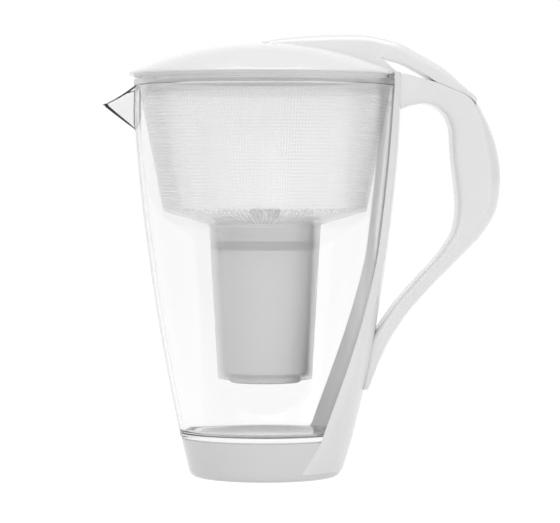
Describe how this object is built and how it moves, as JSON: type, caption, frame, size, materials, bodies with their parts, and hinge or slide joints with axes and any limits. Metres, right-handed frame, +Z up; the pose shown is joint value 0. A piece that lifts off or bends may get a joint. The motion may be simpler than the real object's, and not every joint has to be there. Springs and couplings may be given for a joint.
{
  "type": "water filter pitcher",
  "caption": "Clear round pitcher with a V spout, white base and loop handle, a lift-out hopper with a filter cartridge, and a domed lid with a flip flap whose tail rests on the handle.",
  "frame": {"origin": "centre of the foot, on the plane that the pitcher stands on", "axes": "+Z up, -X towards the spout, +X towards the handle, XZ is the plane of symmetry"},
  "size_m": [0.2448, 0.1626, 0.2713],
  "materials": {
    "clear_plastic": "polished clear",
    "frosted_plastic": "translucent with a fine dotted texture",
    "white_plastic": "glossy moulded",
    "liner_plastic": "satin moulded",
    "cartridge_plastic": "satin moulded",
    "soft_ring": "soft satin",
    "screen_mesh": "fine woven screen",
    "granules": "loose granules",
    "pin_steel": "drawn wire"
  },
  "bodies": {
    "jug": {"clear_jug": "clear_plastic", "base_cup": "white_plastic", "base_plate": "liner_plastic", "foot_ring": "soft_ring", "handle_spine": "white_plastic", "handle_cover": "white_plastic"},
    "hopper": {"reservoir": "frosted_plastic"},
    "lid": {"lid_shell": "white_plastic", "lid_liner": "liner_plastic", "hinge_pin": "pin_steel"},
    "flap": {"flap_shell": "white_plastic", "flap_liner": "liner_plastic", "tail_cover": "white_plastic"},
    "cartridge": {"cartridge_cup": "cartridge_plastic", "cartridge_cap": "cartridge_plastic", "cartridge_seal": "soft_ring", "inlet_screen": "screen_mesh", "outlet_screen": "screen_mesh", "filter_media": "granules"}
  },
  "joints": [
    {"name": "hopper_lift", "type": "slide", "parent": "jug", "child": "hopper", "axis": [0, 0, 1], "range_m": [0, 0.2]},
    {"name": "lid_lift", "type": "slide", "parent": "hopper", "child": "lid", "axis": [0, 0, 1], "range_m": [0, 0.06]},
    {"name": "cartridge_lift", "type": "slide", "parent": "hopper", "child": "cartridge", "axis": [0, 0, 1], "range_m": [0, 0.094]},
    {"name": "flap_hinge", "type": "hinge", "parent": "lid", "child": "flap", "pos_m": [-0.0005, 0, 0.2641], "axis": [0, -1, 0], "range_deg": [0, 80]}
  ]
}
